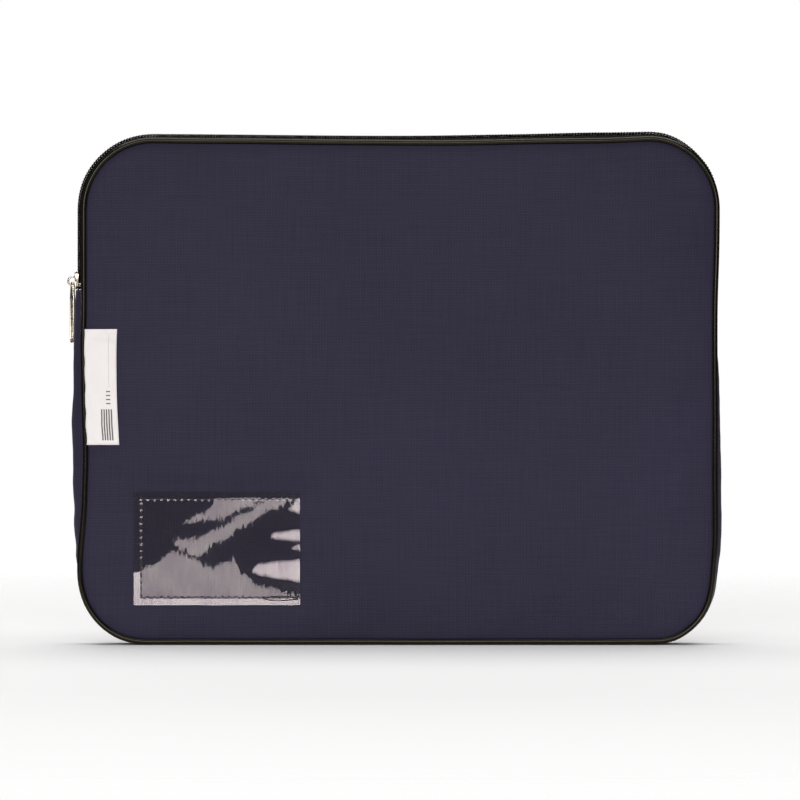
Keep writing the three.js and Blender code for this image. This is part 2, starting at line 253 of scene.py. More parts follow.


# %% [markdown]
# ### Navy nylon
#
# The cloth is a heavy textured nylon, dyed navy and coated on the inside. Its threads are bundles
# of fine filaments, so they are matt with a faint sheen, and no two have the same thickness: two
# stretched noises, one along each set of threads, vary their tone. The warp is painted a little
# lighter than the weft, as painted sheen, and the gaps are painted nearly black, as painted shade.

# %% Woven nylon, dyed navy
THREAD_ACROSS = 0.88 * MM
THREAD_UP = 0.92 * MM


def woven_nylon(name, warp_with_sheen_code, weft_code, gap_shade_code):
    material, tree = new_finish(name)
    crown, warp_shows, place = weave(tree, THREAD_ACROSS, THREAD_UP)
    # Painted sheen: the warp crowns take a lighter colour than the weft crowns.
    thread = put(tree, "Mix", {
        "Factor": warp_shows, 6: tint(weft_code), 7: tint(warp_with_sheen_code),
    }, data_type="RGBA").outputs[2]
    # Painted shade: the gaps between the thread crowns take the dark gap colour.
    cloth = put(tree, "Mix", {
        "Factor": crown, 6: tint(gap_shade_code), 7: thread,
    }, data_type="RGBA").outputs[2]
    slubs = []
    for stretch in ((1 / THREAD_ACROSS, 28, 1), (28, 1 / THREAD_UP, 1)):
        line = put(tree, "Mapping", {"Vector": place, "Scale": stretch})
        slubs.append(put(tree, "TexNoise", {"Vector": line, "Scale": 1.0, "Detail": 2.0}))
    both = put(tree, "Math", {0: slubs[0], 1: slubs[1]}, operation="ADD")
    cloud = put(tree, "TexNoise", {"Vector": place, "Scale": 9.0, "Detail": 3.0})
    uneven = put(tree, "Math", {0: both, 1: cloud, 2: 0.0}, operation="ADD")
    tone = put(tree, "MapRange", {
        "Value": uneven, "From Min": 1.0, "From Max": 2.0, "To Min": 0.80, "To Max": 1.19,
    })
    worn = put(tree, "Mix", {
        "Factor": 1.0, 6: cloth, 7: tone,
    }, data_type="RGBA", blend_type="MULTIPLY")
    fibre = put(tree, "TexNoise", {"Vector": place, "Scale": 5000.0, "Detail": 2.0})
    height = put(tree, "Math", {0: fibre, 1: 0.15, 2: crown}, operation="MULTIPLY_ADD")
    relief = put(tree, "Bump", {"Strength": 0.30, "Distance": 0.16 * MM, "Height": height})
    show(tree, put(tree, "BsdfPrincipled", {
        "Base Color": worn.outputs[2], "Roughness": 0.66, "Normal": relief, "IOR": 1.53,
        "Specular IOR Level": 0.18, "Sheen Weight": 0.05, "Sheen Roughness": 0.45,
    }))
    return material


navy_cloth = woven_nylon("navy woven nylon, dyed", "#38344a", "#2f2c42", "#1d1a29")
print("finish:", navy_cloth.name)

# %% [markdown]
# ### The other finishes
#
# The inside of the cloth is a polyurethane coating, thin enough for the weave to print through.
# The piping is calendered vinyl over a cord, with a fine leathery grain. The zip tape and the
# binding are woven polyester, drawn a little coarser than the real 0.3 mm thread so that it still
# shows. The coil is drawn nylon monofilament, smooth and a little shiny.

# %% Coating, vinyl, tape, coil and thread
LEATHER_GRAIN = 0.55 * MM
THREAD_TWIST = 0.32 * MM
# A wave texture shows one wave over a twentieth of a unit at a scale of 1.
WAVE_SCALE = 1 / 20


def coated_back(name, code):
    material, tree = new_finish(name)
    crown, _, place = weave(tree, THREAD_ACROSS, THREAD_UP)
    crease = put(tree, "TexNoise", {"Vector": place, "Scale": 130.0, "Detail": 3.0})
    height = put(tree, "Math", {0: crease, 1: 2.0, 2: crown}, operation="MULTIPLY_ADD")
    relief = put(tree, "Bump", {"Strength": 0.35, "Distance": 0.08 * MM, "Height": height})
    gloss = put(tree, "MapRange", {"Value": crease, "To Min": 0.42, "To Max": 0.62})
    show(tree, put(tree, "BsdfPrincipled", {
        "Base Color": tint(code), "Roughness": gloss, "Normal": relief, "IOR": 1.50,
    }))
    return material


def calendered_vinyl(name, code, rubbed_code):
    material, tree = new_finish(name)
    place = put(tree, "UVMap", uv_map="flat")
    grain = put(tree, "TexVoronoi", {
        "Vector": place, "Scale": 1 / LEATHER_GRAIN,
    }, feature="SMOOTH_F1")
    rub = put(tree, "TexNoise", {"Vector": place, "Scale": 45.0, "Detail": 4.0})
    worn = put(tree, "MapRange", {"Value": rub, "From Min": 0.45, "From Max": 0.75, "To Max": 0.6})
    colour = put(tree, "Mix", {
        "Factor": worn, 6: tint(code), 7: tint(rubbed_code),
    }, data_type="RGBA")
    relief = put(tree, "Bump", {"Strength": 0.12, "Distance": 0.05 * MM, "Height": grain})
    gloss = put(tree, "MapRange", {"Value": rub, "To Min": 0.16, "To Max": 0.26})
    show(tree, put(tree, "BsdfPrincipled", {
        "Base Color": colour.outputs[2], "Roughness": gloss, "Normal": relief, "IOR": 1.52,
        "Specular IOR Level": 0.30, "Specular Tint": tint("#e6dcc0"),
    }))
    return material


def woven_tape(name, thread_code, gap_shade_code, pitch):
    material, tree = new_finish(name)
    crown, warp_shows, place = weave(tree, pitch, pitch)
    fuzz = put(tree, "TexNoise", {"Vector": place, "Scale": 900.0, "Detail": 2.0})
    # Painted shade: the thread crowns are lit and the gaps between threads take the darker gap
    # colour.
    lit = put(tree, "Math", {0: crown, 1: fuzz}, operation="MULTIPLY")
    colour = put(tree, "Mix", {
        "Factor": lit, 6: tint(gap_shade_code), 7: tint(thread_code),
    }, data_type="RGBA")
    relief = put(tree, "Bump", {"Strength": 0.5, "Distance": 0.08 * MM, "Height": crown})
    show(tree, put(tree, "BsdfPrincipled", {
        "Base Color": colour.outputs[2], "Roughness": 0.74, "Normal": relief, "IOR": 1.54,
        "Specular IOR Level": 0.06,
    }))
    return material


def drawn_nylon(name, code):
    material, tree = new_finish(name)
    place = put(tree, "TexCoord").outputs["Object"]
    haze = put(tree, "TexNoise", {"Vector": place, "Scale": 160.0, "Detail": 3.0})
    gloss = put(tree, "MapRange", {"Value": haze, "To Min": 0.38, "To Max": 0.58})
    shade = put(tree, "MapRange", {"Value": haze, "To Min": 0.7, "To Max": 1.3})
    colour = put(tree, "Mix", {
        "Factor": 1.0, 6: tint(code), 7: shade,
    }, data_type="RGBA", blend_type="MULTIPLY")
    show(tree, put(tree, "BsdfPrincipled", {
        "Base Color": colour.outputs[2], "Roughness": gloss, "IOR": 1.53,
        "Specular IOR Level": 0.06,
    }))
    return material


def spun_thread(name, code, light_code):
    material, tree = new_finish(name)
    place = put(tree, "TexCoord").outputs["Object"]
    turned = put(tree, "Mapping", {"Vector": place, "Rotation": (0, math.radians(38), 0)})
    twist = put(tree, "TexWave", {
        "Vector": turned, "Scale": WAVE_SCALE / THREAD_TWIST, "Distortion": 0.6,
    })
    colour = put(tree, "Mix", {
        "Factor": twist, 6: tint(code), 7: tint(light_code),
    }, data_type="RGBA")
    relief = put(tree, "Bump", {"Strength": 0.4, "Distance": 0.06 * MM, "Height": twist})
    show(tree, put(tree, "BsdfPrincipled", {
        "Base Color": colour.outputs[2], "Roughness": 0.6, "Normal": relief, "IOR": 1.54,
        "Sheen Weight": 0.1,
    }))
    return material


inner_coating = coated_back("black polyurethane coating", "#1c1c22")
black_vinyl = calendered_vinyl("black vinyl, calendered", "#0d0b08", "#171410")
black_tape = woven_tape("black polyester tape, woven", "#120f0c", "#060504", 0.5 * MM)
black_coil = drawn_nylon("black nylon monofilament, drawn", "#1a150f")
black_thread = spun_thread("black polyester thread, twisted", "#100f0e", "#2a2724")
print("finishes:", len(bpy.data.materials))

# %% [markdown]
# ### Nickel, ribbon and clear vinyl
#
# The slider is die-cast zinc with bright nickel plate: a metal with low roughness, broken by
# small wear marks. The label is a white satin ribbon, whose long floats run along it, printed
# with a ruled line to write on and a plain block of bars. The window is clear soft vinyl: mostly
# transparent, with a mirror-like skin, which is what its high IOR and its streaks give. Its folds
# are finer than any mesh worth having, so each point of the sheet carries its own lean, and the
# lean tips the skin that the light bounces off.

# %% Plated zinc, satin ribbon, clear vinyl
def plated_zinc(name, code, worn_code):
    material, tree = new_finish(name)
    place = put(tree, "TexCoord").outputs["Object"]
    cloud = put(tree, "TexNoise", {"Vector": place, "Scale": 420.0, "Detail": 4.0})
    marks = put(tree, "Mapping", {
        "Vector": place, "Scale": (1500, 1500, 160), "Rotation": (0.2, 0, 0),
    })
    scratch = put(tree, "TexNoise", {"Vector": marks, "Scale": 1.0, "Detail": 2.0})
    wear = put(tree, "MapRange", {"Value": scratch, "From Min": 0.55, "From Max": 0.75})
    colour = put(tree, "Mix", {"Factor": wear, 6: tint(code), 7: tint(worn_code)}, data_type="RGBA")
    gloss = put(tree, "MapRange", {"Value": cloud, "To Min": 0.12, "To Max": 0.30})
    relief = put(tree, "Bump", {"Strength": 0.15, "Distance": 0.03 * MM, "Height": cloud})
    show(tree, put(tree, "BsdfPrincipled", {
        "Base Color": colour.outputs[2], "Metallic": 1.0, "Roughness": gloss, "Normal": relief,
    }))
    return material


def satin_ribbon(name, code, fold_shade_code, ink_code, bars):
    """bars are boxes (left, right, low, high) on the flat ribbon, in metres."""
    material, tree = new_finish(name)
    place = put(tree, "UVMap", uv_map="flat")
    axes = put(tree, "SeparateXYZ", {0: place})
    across = put(tree, "Mapping", {"Vector": place, "Scale": (1 / (0.22 * MM), 60, 1)})
    floats = put(tree, "TexNoise", {"Vector": across, "Scale": 1.0, "Detail": 2.0})
    cloud = put(tree, "TexNoise", {"Vector": place, "Scale": 70.0, "Detail": 3.0})
    shade = put(tree, "Math", {0: floats, 1: cloud}, operation="MULTIPLY")
    # Painted shade: where the float and cloud noises are high the ribbon takes the darker fold
    # colour.
    satin = put(tree, "Mix", {"Factor": shade, 6: tint(code), 7: tint(fold_shade_code)}, data_type="RGBA")
    colour = satin.outputs[2]
    soft = 0.12 * MM
    for left, right, low, high in bars:
        ink = 0.9
        for axis, start, end in (("X", left, right), ("Y", low, high)):
            for edge, inward in ((start, soft), (end, -soft)):
                side = put(tree, "MapRange", {
                    "Value": axes.outputs[axis],
                    "From Min": edge - inward / 2, "From Max": edge + inward / 2,
                })
                ink = put(tree, "Math", {0: ink, 1: side}, operation="MULTIPLY")
        colour = put(tree, "Mix", {
            "Factor": ink, 6: colour, 7: tint(ink_code),
        }, data_type="RGBA").outputs[2]
    relief = put(tree, "Bump", {"Strength": 0.25, "Distance": 0.04 * MM, "Height": floats})
    show(tree, put(tree, "BsdfPrincipled", {
        "Base Color": colour, "Roughness": 0.5, "Normal": relief, "IOR": 1.54,
        "Specular IOR Level": 0.35, "Sheen Weight": 0.2, "Sheen Roughness": 0.4,
    }))
    return material


def clear_vinyl_sheet(name, code, haze_code, shine_codes):
    """shine_codes are the colours of its shine, between the streaks and in them."""
    material, tree = new_finish(name)
    place = put(tree, "UVMap", uv_map="flat")
    lean = put(tree, "Attribute", attribute_name="lean").outputs["Fac"]
    tip = put(tree, "CombineXYZ", {"Z": lean})
    skin = put(tree, "NewGeometry").outputs["Normal"]
    tipped = put(tree, "VectorMath", {0: skin, 1: tip}, operation="ADD")
    facing = put(tree, "VectorMath", {0: tipped}, operation="NORMALIZE")
    ripple = put(tree, "TexNoise", {"Vector": place, "Scale": 300.0, "Detail": 2.0})
    relief = put(tree, "Bump", {
        "Strength": 0.10, "Distance": 0.04 * MM, "Height": ripple, "Normal": facing,
    })
    drawn = put(tree, "Mapping", {"Vector": place, "Scale": (1 / (1.0 * MM), 1 / (13 * MM), 1)})
    streak = put(tree, "TexNoise", {"Vector": drawn, "Scale": 1.0, "Detail": 3.0})
    cloud = put(tree, "TexNoise", {"Vector": place, "Scale": 55.0, "Detail": 2.0})
    uneven = put(tree, "Math", {0: streak, 1: cloud}, operation="ADD")
    bright = put(tree, "MapRange", {"Value": uneven, "From Min": 0.75, "From Max": 1.2})
    sheen = put(tree, "Mix", {
        "Factor": bright, 6: tint(shine_codes[0]), 7: tint(shine_codes[1]),
    }, data_type="RGBA")
    mirror = put(tree, "BsdfGlossy", {
        "Color": sheen.outputs[2], "Roughness": 0.08, "Normal": relief,
    })
    through = put(tree, "BsdfTransparent", {"Color": tint(code)})
    haze = put(tree, "BsdfDiffuse", {"Color": tint(haze_code)})
    cloudy = put(tree, "MixShader", {0: 0.006, 1: through, 2: haze})
    edge_on = put(tree, "Fresnel", {"IOR": 1.80, "Normal": relief})
    show(tree, put(tree, "MixShader", {0: edge_on, 1: cloudy, 2: mirror}))
    return material


# What is printed, as (left, right, low, high) in mm: a rule, then four ticks, then five bars.
PRINT = [(13.25, 13.36, 33, 63.5)]
PRINT += [(11.6, 13.9, 23.4 + 2.3 * i, 24.1 + 2.3 * i) for i in range(4)]
PRINT += [(8.4 + 1.35 * i, 9.2 + 1.35 * i, 2.6, 20.5) for i in range(5)]
nickel = plated_zinc("bright nickel on die-cast zinc", "#ddd0c0", "#9c8c7b")
ribbon = satin_ribbon(
    "white satin ribbon, printed", "#fbf6f4", "#e4dcd9", "#3a3533",
    [[value * MM for value in box] for box in PRINT],
)
clear_vinyl = clear_vinyl_sheet(
    "clear vinyl sheet, cast", "#efedf4", "#d8d2d4", ("#d5c4cb", "#f6ebe8"),
)
print("finishes:", len(bpy.data.materials))

# %% [markdown]
# ## Turning a mesh into a piece
#
# Each piece is built in a bmesh and then becomes an object at the origin with its place in its
# mesh. Cloth is made as one surface and thickened last: the Solidify modifier gives its second
# face the second finish, which is how a coated cloth can be navy outside and black inside.

# %% Helpers for pieces
def make_piece(bm, name, finishes, stands_for):
    """Turns a bmesh into a piece that takes the place of the named CAD nodes."""
    mesh = bpy.data.meshes.new(name)
    bm.to_mesh(mesh)
    bm.free()
    piece = bpy.data.objects.new(name, mesh)
    bpy.context.collection.objects.link(piece)
    for finish in finishes:
        mesh.materials.append(finish)
    mesh.shade_smooth()
    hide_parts(*stands_for)
    return piece


def apply_modifiers(piece):
    """Bakes the live modifiers into the mesh."""
    graph = bpy.context.evaluated_depsgraph_get()
    finished = bpy.data.meshes.new_from_object(piece.evaluated_get(graph))
    piece.modifiers.clear()
    old = piece.data
    piece.data = finished
    bpy.data.meshes.remove(old)
    finished.name = piece.name
    return piece


def thicken(piece, thickness, inward=-1):
    """Gives a cloth its thickness, with the last finish on its inner face."""
    wall = piece.modifiers.new("cloth thickness", "SOLIDIFY")
    wall.thickness = thickness
    wall.offset = inward
    wall.material_offset = len(piece.data.materials) - 1
    wall.material_offset_rim = 0
    return apply_modifiers(piece)


def mark_flat(bm, place=lambda co: (co.x, co.y)):
    """Keeps each corner's place on the flat cloth in the UV map, in metres."""
    layer = bm.loops.layers.uv.new("flat")
    for face in bm.faces:
        for loop in face.loops:
            loop[layer].uv = place(loop.vert.co)


def fold_at_mouth(piece):
    """Bakes the piece's place into its mesh; nothing is opened or turned over here."""
    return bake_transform(piece)


# %% [markdown]
# ## The panels
#
# Each panel is one piece of cloth. A grid gives even squares, which a cloth simulation needs, and
# its four corner blocks are drawn in to quarter circles. The rim is held in the seam, and the
# rest is slightly larger than its frame, so it settles into a shallow, uneven pillow. The sag is
# capped, because an empty bag is nearly flat.

# %% A cloth panel, cut and settled
CELL = 4.8 * MM
# The cloth dips into the seam by VALLEY, stands up to SHOULDER past it, and domes by DOME.
VALLEY = 0.9 * MM
SHOULDER = 0.6 * MM
DOME = 0.8 * MM
UNEVEN = 0.25 * MM
MOST_PUFF = 2.2 * MM
SETTLE_STEPS = 20
# A firm cloth with little stretch. It is cut 0.15 % too large and blown up slightly.
CLOTH = {
    "vertex_group_mass": "seam", "quality": 5, "mass": 0.4, "tension_stiffness": 30,
    "compression_stiffness": 30, "shear_stiffness": 12, "bending_stiffness": 2,
    "shrink_min": -0.0015, "use_pressure": True, "uniform_pressure_force": 0.6,
}


def round_off(across, up):
    """Moves a point of the plain rectangle to its place in the one with round corners."""
    over_x = max(abs(across) - (HALF - ROUND), 0)
    over_z = max(abs(up) - (MIDDLE_Z - LOW - ROUND), 0)
    if over_x and over_z:
        squeeze = max(over_x, over_z) / math.hypot(over_x, over_z)
        across = math.copysign(HALF - ROUND + over_x * squeeze, across)
        up = math.copysign(MIDDLE_Z - LOW - ROUND + over_z * squeeze, up)
    return across, up


def depth_inside(x, z):
    """How far a point of the panel is from its seam."""
    over_x = abs(x) - (HALF - ROUND)
    over_z = abs(z - MIDDLE_Z) - (MIDDLE_Z - LOW - ROUND)
    if over_x > 0 and over_z > 0:
        return ROUND - math.hypot(over_x, over_z)
    return ROUND - max(over_x, over_z)


def cut_panel(side, seed):
    """A low dome of cloth, facing -Y for side -1 and +Y for side 1, with its UV map in metres."""
    bm = bmesh.new()
    bmesh.ops.create_grid(
        bm, x_segments=round(2 * HALF / CELL), y_segments=round((HIGH - LOW) / CELL), size=1,
    )
    for vert in bm.verts:
        x, up = round_off(vert.co.x * HALF, vert.co.y * (HIGH - LOW) / 2)
        vert.co = (x, up, 0)
    mark_flat(bm)
    for vert in bm.verts:
        x, z = vert.co.x, vert.co.y + MIDDLE_Z
        inside = depth_inside(x, z)
        puff = DOME * ease(inside, 0, 120 * MM)
        puff += UNEVEN * noise.noise((x * 14, z * 14, seed)) * ease(inside, 0, 30 * MM)
        out = SEAM_Y - VALLEY + (VALLEY + SHOULDER) * ease(inside, 0, 7 * MM) + puff
        vert.co = (x, side * out, z)
    if side > 0:
        bmesh.ops.reverse_faces(bm, faces=bm.faces)
    return bm


def let_settle(piece, side):
    """Holds the rim, lets the slack cloth find its shape, and caps how far it moves."""
    rest = [vert.co.copy() for vert in piece.data.vertices]
    rim = piece.vertex_groups.new(name="seam")
    held = [i for i, co in enumerate(rest) if depth_inside(co.x, co.z) < 0.6 * CELL]
    rim.add(held, 1.0, "REPLACE")
    cloth = piece.modifiers.new("settling", "CLOTH")
    for setting, value in CLOTH.items():
        setattr(cloth.settings, setting, value)
    cloth.settings.effector_weights.gravity = 0
    cloth.point_cache.frame_start = 1
    cloth.point_cache.frame_end = SETTLE_STEPS
    scene = bpy.context.scene
    for step in range(1, SETTLE_STEPS + 1):
        scene.frame_set(step)
    apply_modifiers(piece)
    scene.frame_set(1)
    furthest = 0
    for vert, start in zip(piece.data.vertices, rest):
        move = side * (vert.co.y - start.y)
        furthest = max(furthest, abs(move))
        kept = MOST_PUFF * math.tanh(move / MOST_PUFF)
        vert.co = settle((start.x, start.y + side * kept, start.z))
    print(f"{piece.name}: the cloth moved up to {1000 * furthest:.2f} mm")


# %% [markdown]
# ## The window's lie
#
# The clear window is a stiffer sheet than the cloth, so the cloth under it follows it. It is
# nearly flat, but its look is all in how it leans: where it leans back by a few degrees it mirrors
# the low softbox, where it leans back further it mirrors the brighter high one, and where it
# stands upright it mirrors the dark. Each fold is a band with a lower and an upper edge, feathered
# by fine noise, and the hem outside the stitches curls up.

# %% How the window leans, and where it lies
window_low, window_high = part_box("card_window")
stitch_low, stitch_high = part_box("window_stitching")
WINDOW_WIDE = window_high.x - window_low.x
WINDOW_TALL = window_high.z - window_low.z
STITCH_PITCH = 3.9 * MM
SEWN_LEFT = stitch_low.x
SEWN_RIGHT = stitch_high.x
SEWN_TOP = stitch_high.z
SEWN_LOW = stitch_low.z
# Slopes of the sheet: upright at its top and low edges, in a wide fold and in a tight one.
UPRIGHT_TOP = -0.001
UPRIGHT_LOW = 0.013
LEANING = 0.058
STEEP = 0.12
# A fold's slope comes and goes over this share of the sheet's height, and the hem on the left
# curls up to this share of it.
SOFT_EDGE = 0.055
HEM_UP = 0.29
GLINT = 0.95 * MM
# How far the window's skin lies behind the front of its CAD solid, and how far it waves.
SKIN_IN = 0.6 * MM
SKIN_WAVE = 0.3 * MM
# Each band: its slope, then stations of (share across, lower edge, upper edge) on the sheet.
FOLDS = [
    (LEANING, [(0.0, -0.1, 0.27), (0.10, -0.1, 0.36), (0.24, -0.1, 0.47), (0.35, -0.1, 0.41),
               (0.46, -0.1, 0.335), (0.60, -0.1, 0.40), (0.66, -0.1, 0.27), (0.76, -0.1, 0.18),
               (1.0, -0.1, 0.10)]),
    (LEANING, [(0.26, 0.71, 0.71), (0.41, 0.74, 0.82), (0.52, 0.77, 0.96), (0.70, 0.87, 1.0),
               (0.78, 0.93, 0.94)]),
    (LEANING, [(0.22, 0.565, 0.57), (0.30, 0.475, 0.58), (0.38, 0.435, 0.59), (0.52, 0.56, 0.70),
               (0.66, 0.69, 0.81), (0.83, 0.84, 0.95), (0.95, 0.93, 0.95)]),
    (STEEP, [(0.825, 0.60, 0.62), (0.855, 0.585, 0.64), (1.0, 0.57, 0.665)]),
    (STEEP, [(0.93, 0.505, 0.505), (1.0, 0.485, 0.53)]),
    (STEEP, [(0.715, 0.29, 0.315), (0.755, 0.265, 0.365), (0.90, 0.23, 0.39), (1.0, 0.205, 0.40)]),
    (STEEP, [(0.93, 0.85, 0.85), (1.0, 0.82, 0.94)]),
]


def at_hole(off, along, radius):
    """1 in a needle hole of a row of stitches, and falling to 0 round it."""
    to_hole = along - STITCH_PITCH * round(along / STITCH_PITCH)
    return math.exp(-((math.hypot(off, to_hole) / radius) ** 2))


def hole_glint(x, z):
    """Near 1 at the needle holes of the top and left rows, where the lip of the hole leans back."""
    right, up, down = x - SEWN_LEFT, z - SEWN_LOW, z - SEWN_TOP
    if right > -2 * MM and up > 20 * MM and down < 0.9 * MM:
        return max(at_hole(right, up, GLINT), at_hole(down, right, GLINT))
    return 0


def lean_at(x, z):
    """How far the sheet leans back, as a slope."""
    across = (x - window_low.x) / WINDOW_WIDE
    up = (z - window_low.z) / WINDOW_TALL
    upright = UPRIGHT_LOW + (UPRIGHT_TOP - UPRIGHT_LOW) * up
    if z < SEWN_LOW - 0.4 * MM or (x < SEWN_LEFT - 0.4 * MM and up < HEM_UP):
        return STEEP
    most = (LEANING - upright) * hole_glint(x, z)
    if z > SEWN_TOP + 0.8 * MM:
        return upright + most
    feather = 0.048 * noise.noise((across * 135, up * 5, 4.0))
    feather += 0.034 * noise.noise((across * 230, up * 6, 9.0))
    for steepness, stations in FOLDS:
        if not stations[0][0] <= across <= stations[-1][0]:
            continue
        low = eased([(a, lower) for a, lower, _ in stations], across)
        high = eased([(a, upper) for a, _, upper in stations], across)
        edge = up + feather * (0.4 if steepness == STEEP else 1.0)
        inside = ease(edge, low - SOFT_EDGE / 2, low + SOFT_EDGE / 2)
        inside *= 1 - ease(edge, high - SOFT_EDGE / 2, high + SOFT_EDGE / 2)
        most = max(most, inside * (steepness - upright))
    return upright + most


def window_y(x, z):
    """Where the window's front lies, for a place on it or a little outside it."""
    return window_high.y - SKIN_IN - SKIN_WAVE * noise.noise((x * 18, z * 22, 2.0))


print(f"lean from {math.degrees(UPRIGHT_TOP):.1f} to {math.degrees(STEEP):.1f} degrees")


# %% Make both panels
def sew_panel(name, side, seed, stands_for):
    finishes = [navy_cloth, inner_coating]
    piece = make_piece(cut_panel(side, seed), name, finishes, stands_for)
    let_settle(piece, side)
    return piece


front_cloth = sew_panel("front_cloth", -1, 3.0, ["front_panel", "front_panel_flap"])
back_cloth = sew_panel("back_cloth", 1, 8.0, ["back_panel"])

# Round the window the cloth follows the sheet: it keeps behind the sheet's deepest spot nearby.
FOLLOW_REACH = 12 * MM
SHEET_GAP = 0.45 * MM
NEARBY = [(dx * MM, dz * MM) for dx in (-4, 0, 4) for dz in (-4, 0, 4)]
for vert in front_cloth.data.vertices:
    x, z = vert.co.x, vert.co.z
    off_x = max(window_low.x - x, x - window_high.x, 0)
    off_z = max(window_low.z - z, z - window_high.z, 0)
    follows = 1 - ease(math.hypot(off_x, off_z), 1.5 * MM, FOLLOW_REACH)
    behind = max(window_y(x + dx, z + dz) for dx, dz in NEARBY) + SHEET_GAP
    vert.co.y += (behind - vert.co.y) * follows

CLOTH_THICK = 0.9 * MM
for piece, bead in ((front_cloth, "front_bead"), (back_cloth, "back_bead")):
    subdivision = piece.modifiers.new("smooth cloth", "SUBSURF")
    subdivision.levels = subdivision.render_levels = 1
    thicken(piece, CLOTH_THICK)
fold_at_mouth(front_cloth)
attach(back_cloth, "root")
print("panel triangles:", sum(len(p.vertices) - 2 for p in front_cloth.data.polygons))

# %% [markdown]
# ## The piping
#
# Piping is a cord in a strip of vinyl, caught in the seam so that only the round bead shows. One
# circle carried along a straight line gives the tube, and bending it round the seam closes it.

# %% Piping on both seams
BEAD_STEP = 3.6 * MM
BEAD_SHOWN = BEAD - 0.15 * MM
BEAD_DRIFT = 0.35 * MM


def carry(bm, section, length, steps):
    """Carries a section along X: a spin with no angle is a straight extrusion in even steps."""
    bmesh.ops.spin(
        bm, geom=section, cent=(0, 0, 0), axis=(1, 0, 0), dvec=(length / steps, 0, 0), angle=0,
        steps=steps, use_merge=False, use_duplicate=False,
    )


def mark_tube(bm, centre_y, radius):
    """A UV map in metres for a tube: along it, and round it without a jump inside a face."""
    layer = bm.loops.layers.uv.new("flat")
    for face in bm.faces:
        middle = face.calc_center_median()
        around = math.atan2(middle.z, middle.y - centre_y)
        for loop in face.loops:
            co = loop.vert.co
            turn = math.atan2(co.z, co.y - centre_y)
            turn += 2 * math.pi * round((around - turn) / (2 * math.pi))
            loop[layer].uv = (co.x, turn * radius)


def pipe_seam(name, side, stands_for):
    bm = bmesh.new()
    bmesh.ops.create_circle(bm, cap_ends=False, radius=BEAD_SHOWN, segments=14)
    along_x = Matrix.Rotation(math.pi / 2, 3, "Y")
    bmesh.ops.rotate(bm, cent=(0, 0, 0), matrix=along_x, verts=bm.verts)
    bmesh.ops.translate(bm, vec=(0, side * SEAM_Y, 0), verts=bm.verts)
    carry(bm, list(bm.edges), ROUTE, round(ROUTE / BEAD_STEP))
    mark_tube(bm, side * SEAM_Y, BEAD_SHOWN)
    for vert in bm.verts:
        around = 2 * math.pi * vert.co.x / ROUTE
        drift = noise.noise((4 * math.cos(around), 4 * math.sin(around), 2 + side))
        vert.co.z += BEAD_DRIFT * drift
    sew_round(bm)
    bmesh.ops.remove_doubles(bm, verts=bm.verts, dist=0.02 * MM)
    bmesh.ops.recalc_face_normals(bm, faces=bm.faces)
    return make_piece(bm, name, [black_vinyl], stands_for)


front_bead = pipe_seam("front_bead", -1, ["front_piping", "front_piping_flap"])
back_bead = pipe_seam("back_bead", 1, ["back_piping"])
fold_at_mouth(front_bead)
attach(back_bead, "root")
print("bead faces:", len(front_bead.data.polygons))

# %% [markdown]
# ## The gusset
#
# The gusset is a strip of the same cloth, folded and sewn under both beads. It isn't stretched,
# so it bulges: more on the left, where the bag has been pressed, and hardly at all along the
# bottom, where it stands. Stations along the strip give how far its middle stands out.

# %% The nylon strip round the sides and bottom
# Half the strip's width, how far its edges are tucked in, and its puckers' height and spacing.
GUSSET_EDGE = 10.9 * MM
TUCK = 1.2 * MM
PUCKER = 0.35 * MM
PUCKER_PITCH = 11 * MM
GUSSET_CROWN = [(distance * MM, crown * MM) for distance, crown in (
    (500.5, 1.3), (524, 1.4), (553, 3.2), (610, 4.4), (648, 4.4), (668, 3.2), (696, 1.9),
    (726, 1.5), (1008, 1.5), (1071, 1.9), (1083, 3.4), (1102, 6.0), (1125, 7.8), (1153, 8.5),
    (1182, 6.6), (1206, 6.1), (1224, 5.9), (1234, 5.2),
)]


def bulge_gusset(co):
    """The bulge across the strip, with small puckers where it is gathered into the seams."""
    crown = eased(GUSSET_CROWN, co.x)
    share = min(abs(co.y) / GUSSET_EDGE, 1)
    arch = (1 - share ** 2.4) ** 0.75
    pucker = PUCKER * share * (1 - share) * math.sin(co.x * 2 * math.pi / PUCKER_PITCH)
    drift = 0.5 * MM * arch * noise.noise((co.x * 45, co.y * 60, 5.0)) * min(crown / (4 * MM), 1)
    return Vector((co.x, co.y, -TUCK + (crown + TUCK) * arch + pucker + drift))


def cut_strip(wide, tall, columns, rows, middle):
    """A flat rectangle of cloth as a grid round its middle (x, y), with its UV map."""
    bm = bmesh.new()
    bmesh.ops.create_grid(bm, x_segments=columns, y_segments=rows, size=0.5)
    bmesh.ops.scale(bm, vec=(wide, tall, 1), verts=bm.verts)
    bmesh.ops.translate(bm, vec=(*middle, 0), verts=bm.verts)
    mark_flat(bm)
    return bm


GUSSET_LENGTH = ROUTE - ZIP_LENGTH
bm = cut_strip(
    GUSSET_LENGTH, 2 * GUSSET_EDGE, round(GUSSET_LENGTH / (3 * MM)), 16,
    middle=(ZIP_LENGTH + GUSSET_LENGTH / 2, 0),
)
for vert in bm.verts:
    vert.co = bulge_gusset(vert.co)
sew_round(bm)
gusset_strip = make_piece(
    bm, "gusset_strip", [navy_cloth, inner_coating], ["gusset"],
)
thicken(gusset_strip, CLOTH_THICK)
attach(gusset_strip, "root")
print("gusset faces:", len(gusset_strip.data.polygons))

# %% [markdown]
# ## The zip
#
# A coil zip is two woven tapes, each with a nylon filament wound in a long flat helix and sewn to
# its edge. The turns of one side fall between those of the other. The helix is a curve with a
# round bevel, worked out by a loop: it stays exact at any length, and each turn costs few faces.
# The zip's crown along the seam is given by stations: 4.5 to 5.6 mm over most of it, falling to 1.4
# mm at its end.

